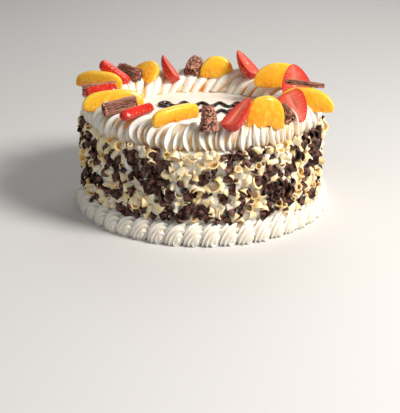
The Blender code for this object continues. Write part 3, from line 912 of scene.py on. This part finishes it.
berry_finish, berry_tree, berry_shader = plain_finish("strawberry", BERRY_SKIN, BERRY_ROUGHNESS)
lets_light_in(berry_shader, *BERRY_GLOW)
flesh_depth = attribute(berry_tree, "flesh")
cut_side = attribute(berry_tree, "across")
line_along = math_node(berry_tree, "MULTIPLY", attribute(berry_tree, "along"), FLESH_LINES)
line_place = added(berry_tree, "ShaderNodeCombineXYZ", {"X": line_along, "Y": cut_side})
line_noise = added(berry_tree, "ShaderNodeTexNoise", {"Vector": line_place.outputs["Vector"], "Scale": 1.0})
lines = ranged(berry_tree, line_noise.outputs["Fac"], *LINE_WIDTH)
off_rim = ranged(berry_tree, flesh_depth, *LINES_FROM_RIM)
off_core = ranged(berry_tree, math_node(berry_tree, "ABSOLUTE", cut_side), *LINES_FROM_CORE)
for limit in (off_rim, off_core):
    lines = math_node(berry_tree, "MULTIPLY", lines, limit)
skin_tone = mixed_colour(berry_tree, patches(berry_tree, *BERRY_PATCHES), BERRY_SKIN_DEEP, BERRY_SKIN)
cut_red = mixed_colour(berry_tree, ranged(berry_tree, flesh_depth, *FLESH_RED), BERRY_RED, BERRY_FLESH)
cut_pale = mixed_colour(berry_tree, ranged(berry_tree, flesh_depth, *FLESH_CORE), cut_red, BERRY_PALE)
line_share = math_node(berry_tree, "MULTIPLY", lines, LINE_STRENGTH)
cut_lined = mixed_colour(berry_tree, line_share, cut_pale, BERRY_PALE)
cut_edge = ranged(berry_tree, flesh_depth, *FLESH_EDGE)
colour_in(berry_tree, berry_shader, mixed_colour(berry_tree, cut_edge, skin_tone, cut_lined))
grain(berry_tree, berry_shader, *BERRY_GRAIN, lines)

seed_finish = plain_finish("strawberry_seed", SEED_AND_HIGHLIGHT_COLOUR, SEED_ROUGHNESS)[0]
seed_shape = bpy.data.meshes.new("seed")
edit = bmesh.new()
bmesh.ops.create_icosphere(edit, subdivisions=1, radius=1.0, matrix=Matrix.Diagonal((*SEED_SIZE, 1.0)))
edit.to_mesh(seed_shape)
edit.free()

seeds_tree, seeds_in, seeds_out = tree_for("Seeds in their pits", (
    ("Seeds", "Collection"), ("Finish", "Material")))
seed_kind = added(seeds_tree, "GeometryNodeCollectionInfo", {"Collection": seeds_in["Seeds"]})
seed_way = added(seeds_tree, "GeometryNodeInputNamedAttribute", {"Name": "outward"}, data_type="FLOAT_VECTOR")
seed_turn = added(seeds_tree, "FunctionNodeAlignRotationToVector", {"Vector": seed_way.outputs[0]}, axis="Z")
seeds_set = added(seeds_tree, "GeometryNodeInstanceOnPoints", {
    "Points": seeds_in["Geometry"], "Instance": seed_kind.outputs[0],
    "Rotation": seed_turn.outputs[0]})
closing(seeds_tree, seeds_set.outputs[0], seeds_in["Finish"], seeds_out)

for number, row in enumerate(STRAWBERRIES, start=1):
    length, width, depth = (size * MM for size in row[0])
    berry, seeds = berry_mesh(length, width, depth, number)
    seed_points = bpy.data.meshes.new("seed_points")
    seed_points.from_pydata((seeds * BERRY_FIT).tolist(), [], [])
    outward = seed_points.attributes.new("outward", "FLOAT_VECTOR", "POINT")
    directions = seeds * (0.0, 4.0 / width ** 2, 1.0 / depth ** 2)
    directions = directions / np.linalg.norm(directions, axis=1)[:, None]
    outward.data.foreach_set("vector", directions.ravel().astype(np.float32))
    seeds_mesh = grown(seed_points, seeds_tree, {"Seeds": [seed_shape], "Finish": seed_finish}, "seeds")
    matrix = placed(row)
    berry.transform(matrix)
    seeds_mesh.transform(matrix)
    seeds_mesh.polygons.foreach_set("material_index", [1] * len(seeds_mesh.polygons))
    whole = joined([berry, seeds_mesh], f"berry_{number}")
    piece = show(whole, f"berry_{number}", berry_finish, seed_finish)
    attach(piece, "root")
    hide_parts(f"strawberry_{number}")


# Peach slices: tinned peach, soft and wet. A slice is a crescent: smooth and round at its
# outer rim, and ragged along its core edge, where the stone was.
PEACHES = (
    ((46, 14, 11), (-105, 83, 103), (142, 2, 88)),
    ((33, 28, 11), (-58, 97, 105), (73, -4, 74)),
    ((50, 21, 11), (-19, 95, 102), (1, -3, 70)),
    ((52, 25, 12), (26, 81, 105), (-24, 0, 70)),
    ((33, 22, 11), (80, 80, 101), (-78, 0, 76)),
    ((32, 24, 11), (129, 84, 101), (178, -12, 31)),
    ((46, 16, 11), (163, 99, 102), (-179, 1, 74)),
    ((54, 18, 12), (-154, 85, 102), (170, 2, 63)),
)
PEACH_BLUNTNESS = (5.0, 2.8, 2.3, 2.2, 2.6, 2.0, 3.2, 3.0)
PEACH_FIT = 0.98
PEACH_BEND = 0.12
PEACH_WANDER = 0.09
PEACH_STATIONS = 96
PEACH_OUTLINE = (
    (-1.0, 0.38), (-0.50, 0.66), (0.0, 0.82), (0.50, 0.88), (0.80, 0.80), (0.95, 0.48), (1.0, 0.12))
PEACH_ROUND = 80
PEACH_STRAIGHT = 0.35
PEACH_LUMP = 0.00045
PEACH_LUMP_SCALE = 330.0
PEACH_RIPENESS = (0.2, 1.0, 0.05, 0.5, 0.2, 0.6, 0.3, 0.1)
PEACH_GOLD = (0.96, 0.575, 0.036)
# Deep orange: random and per-slice tone, and painted shade toward the core edge.
PEACH_TONE_AND_SHADE = (0.92, 0.38, 0.018)
# Pale: painted highlight on the rim and on the tops of the lumps.
PEACH_HIGHLIGHT = (0.97, 0.69, 0.10)
PEACH_ROUGHNESS = 0.20
PEACH_GLOW = (0.65, (1.0, 0.55, 0.10), 0.008)
PEACH_PATCHES = (110.0, 3.0, 0.35, 0.68, 0.35, 0.0)
PEACH_RIPE = (0.0, 1.0, 0.0, 0.65)
SHADE_TO_CORE = (-1.0, 0.3, 0.55, 0.0)
RIM_HIGHLIGHT_RANGE = (0.3, 1.0, 0.0, 0.35)
TOP_HIGHLIGHT_RANGE = (0.50, 0.85, 0.0, 0.4)
PEACH_GRAIN = (330.0, 4.0, 0.40, 0.0006)


def peach_mesh(length, width, depth, number):
    """A bent lens with blunt ends along x, its ragged core edge at -y and its round rim at +y."""
    stations = np.sin(np.linspace(-math.pi / 2 + 0.05, math.pi / 2 - 0.05, PEACH_STATIONS))
    half_outline = np.array(PEACH_OUTLINE)
    corners = np.vstack([half_outline, half_outline[::-1] * (1, -1), half_outline[:1]])
    ring = np.linspace(0, len(corners) - 1, PEACH_ROUND, endpoint=False)
    shares = np.stack([np.interp(ring, np.arange(len(corners)), corners[:, k]) for k in (0, 1)], -1)
    for _ in range(3):
        shares = (np.roll(shares, 1, 0) + 2 * shares + np.roll(shares, -1, 0)) / 4
    bluntness = PEACH_BLUNTNESS[number - 1]
    rows = []
    lumps = []
    for along in stations:
        rim_wander = 1.0 + PEACH_WANDER * (noise.noise(Vector((along * 1.6, number * 7.3, 0.0))) - 0.3)
        core_wander = 1.0 + 2.0 * PEACH_WANDER * (noise.noise(Vector((along * 2.4, number * 7.3, 5.0))) - 0.3)
        half = width / 2 * (1.0 - abs(along) ** bluntness) ** (1.0 / bluntness)
        middle = PEACH_BEND * width * (0.5 - along * along) + PEACH_STRAIGHT * (half - width / 2)
        thick = depth / 2 * (1.0 - 0.35 * along * along) * (half / (width / 2)) ** 0.8
        line = []
        for reach, side in shares:
            wander = rim_wander if reach > 0 else core_wander
            place = Vector((PEACH_FIT * length / 2 * along, middle + half * reach * wander, thick * side))
            seat = place * PEACH_LUMP_SCALE + Vector((number * 17.0, 0.0, 0.0))
            coarse = noise.noise(seat)
            fine = noise.noise(seat * 2.3)
            core = max(0.0, min(1.0, 0.35 - reach))
            lump = PEACH_LUMP * ((0.15 + 1.2 * core) * coarse + 0.7 * core * fine)
            outward = Vector((0.25 * along, reach, 1.2 * side)).normalized()
            line.append(place + outward * (lump - 0.4 * PEACH_LUMP))
            lumps.append(0.5 + 0.5 * coarse)
        rows.append(line)
    mesh = grid_mesh("peach", np.array(rows), round_second=True)
    set_attribute(mesh, "reach", np.tile(shares[:, 0], PEACH_STATIONS))
    # lump is the height of the bumps, whose tops get painted highlight.
    set_attribute(mesh, "lump", lumps)
    set_attribute(mesh, "ripe", np.full(len(lumps), PEACH_RIPENESS[number - 1]))
    return closed_up(mesh)


peach_finish, peach_tree, peach_shader = plain_finish("tinned_peach", PEACH_GOLD, PEACH_ROUGHNESS)
lets_light_in(peach_shader, *PEACH_GLOW)
peach_reach = attribute(peach_tree, "reach")
peach_ripe = ranged(peach_tree, attribute(peach_tree, "ripe"), *PEACH_RIPE)
orange_tone_and_shade = math_node(peach_tree, "ADD", patches(peach_tree, *PEACH_PATCHES), peach_ripe)
# Painted shade: deeper orange toward the core edge, where the slice lies in shade.
orange_tone_and_shade = math_node(peach_tree, "ADD", orange_tone_and_shade, ranged(peach_tree, peach_reach, *SHADE_TO_CORE))
peach_colour_and_shade = mixed_colour(peach_tree, orange_tone_and_shade, PEACH_GOLD, PEACH_TONE_AND_SHADE)
# Painted highlight: paler toward the round rim and on the tops of the lumps.
rim_highlight = ranged(peach_tree, peach_reach, *RIM_HIGHLIGHT_RANGE)
top_highlight = ranged(peach_tree, attribute(peach_tree, "lump"), *TOP_HIGHLIGHT_RANGE)
painted_highlight_share = math_node(peach_tree, "ADD", rim_highlight, top_highlight)
colour_in(peach_tree, peach_shader, mixed_colour(peach_tree, painted_highlight_share, peach_colour_and_shade, PEACH_HIGHLIGHT))
grain(peach_tree, peach_shader, *PEACH_GRAIN)
for number, row in enumerate(PEACHES, start=1):
    peach = peach_mesh(*(size * MM for size in row[0]), number)
    peach.transform(placed(row))
    piece = show(peach, f"peach_slice_{number}", peach_finish)
    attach(piece, "root")
    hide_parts(f"peach_{number}")


# Flakes: short lengths of crumbly milk chocolate, made of thin sheets folded on themselves.
# Folds run along each length; the broken ends are rough. Shade is painted dark in the grooves between the
# folds and in the pits of the broken ends.
FLAKES = (
    ((19, 18, 18), (-87, 99, 106), (-165, 78, -18)),
    ((14, 12, 12), (-45, 98, 102), (-13, -25, 46)),
    ((32, 5, 5), (-17, 92, 115.7), (3, -3, 75)),
    ((13, 11, 11), (41, 92, 102.5), (-105, -9, 58)),
    ((16, 15, 15), (96, 84, 102), (-34, 32, 36)),
    ((24, 14, 14), (140, 90, 102), (-178, -4, 67)),
    ((28, 13, 13), (179, 92, 101), (-171, 5, 78)),
    ((28, 13, 13), (-139, 91, 104), (165, 7, 70)),
)
FLAKE_STATIONS = 58
FLAKE_ROUND = 116
FLAKE_CAP_RINGS = 12
FLAKE_PLEAT = 0.0019
FLAKE_TAPERS = {1: 0.42}
FLAKE_SHARP = math.radians(70)
FLAKE_GROOVE = (0.08, 0.26)
FLAKE_CRUMB_SCALES = (340.0, 620.0)
FLAKE_FRAYED_END = 0.14
CRUMBLED_FLAKES = (1, 5)
CRUMB = 0.0019
FLAKE_LIGHT = (0.50, 0.215, 0.135)
# Dark: painted shade in the grooves and pits.
FLAKE_SHADE = (0.040, 0.014, 0.009)
FLAKE_ROUGHNESS = 0.62
FLAKE_MOTTLE = (260.0, 3.0)
FLAKE_MOTTLE_SHARE = 0.7
FLAKE_LIT = (0.50, 1.10)
FLAKE_GRAIN = (600.0, 4.0, 0.5, 0.0005)


def flake_mesh(length, width, depth, number):
    """A stick of folded sheets along x; the attribute crest is high on the folds, where light is painted, and
    low in the grooves and the pits of the broken ends, where shade is painted.
    """
    crumbled = 1.0 if number in CRUMBLED_FLAKES else 0.0
    taper = FLAKE_TAPERS.get(number, 0.0)
    shallow, deeper = FLAKE_GROOVE
    coarse, fine = FLAKE_CRUMB_SCALES
    pleats = math.pi * (width + depth) / 2 / FLAKE_PLEAT
    caps = np.linspace(0.05, 0.92, FLAKE_CAP_RINGS)
    along = [(-0.5, shrink) for shrink in caps]
    along += [(share, 1.0) for share in np.linspace(-0.5, 0.5, FLAKE_STATIONS)]
    along += [(0.5, shrink) for shrink in caps[::-1]]
    rows = []
    crests = []
    for share, shrink in along:
        line = []
        for angle in full_turn(FLAKE_ROUND):
            drift = Vector((math.cos(angle), math.sin(angle), share * 1.6 + number * 5.0))
            twist = angle + 0.30 * noise.noise(drift * 1.5)
            fold = abs(math.sin(twist * pleats / 2 + 1.6 * noise.noise(drift * 3.0)))
            ridge = 1.0 - fold ** 0.7
            deep = 0.5 + 0.5 * noise.noise(drift * 2.2 + Vector((9.0, 0.0, 0.0)))
            groove = (shallow + deeper * deep) * (1.0 - ridge) * (1.0 - crumbled)
            swell = 0.97 - groove + 0.16 * noise.noise(drift * 1.1)
            swell *= shrink * (1.0 - taper * (share + 0.5))
            y = width / 2 * swell * math.cos(angle)
            place = Vector((length * share, y, depth / 2 * swell * math.sin(angle)))
            grit = noise.noise(place * coarse + Vector((number * 3.0, 0.0, 0.0)))
            grit = 0.6 * (1.0 - min(1.0, abs(grit) * 3.4)) + 0.8 * max(0.0, noise.noise(place * fine))
            frayed = max(crumbled, max(0.0, abs(share) - 0.5 + FLAKE_FRAYED_END) / FLAKE_FRAYED_END)
            dent = CRUMB * grit * frayed
            outward = Vector((0.0, math.cos(angle), math.sin(angle)))
            if shrink < 1.0:
                dent += CRUMB * 0.7 * (1.0 - ridge) * shrink
                outward = Vector((math.copysign(1.0, share), 0.0, 0.0))
            ragged = CRUMB * 1.2 * noise.noise(Vector((angle * 2.5, number, share)))
            place.x += math.copysign(ragged * max(0.0, abs(share) - 0.4) / 0.1, share)
            line.append(place - outward * dent)
            # crest: painted light on the folds, painted shade in the grooves and in the pits of frayed ends.
            crests.append((0.18 + ridge) * (1.0 - frayed) + (1.0 - 1.5 * grit) * frayed)
        rows.append(line)
    mesh = grid_mesh("flake", np.array(rows), round_second=True)
    set_attribute(mesh, "crest", crests)
    closed_up(mesh)
    mesh.set_sharp_from_angle(angle=FLAKE_SHARP)
    return mesh


flake_finish, flake_tree, flake_shader = plain_finish("flaky_chocolate", FLAKE_LIGHT, FLAKE_ROUGHNESS)
flake_noise = object_noise(flake_tree, *FLAKE_MOTTLE)
flake_mottle = math_node(flake_tree, "MULTIPLY", flake_noise, FLAKE_MOTTLE_SHARE)
# Painted shade and light from crest, with random mottled tone added.
flake_height = math_node(flake_tree, "ADD", attribute(flake_tree, "crest"), flake_mottle)
flake_light = ranged(flake_tree, flake_height, *FLAKE_LIT)
colour_in(flake_tree, flake_shader, mixed_colour(flake_tree, flake_light, FLAKE_SHADE, FLAKE_LIGHT))
grain(flake_tree, flake_shader, *FLAKE_GRAIN)
for number, row in enumerate(FLAKES, start=1):
    flake = flake_mesh(*(size * MM for size in row[0]), number)
    flake.transform(placed(row))
    piece = show(flake, f"flaky_stick_{number}", flake_finish)
    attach(piece, "root")
    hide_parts(f"flake_{number}")
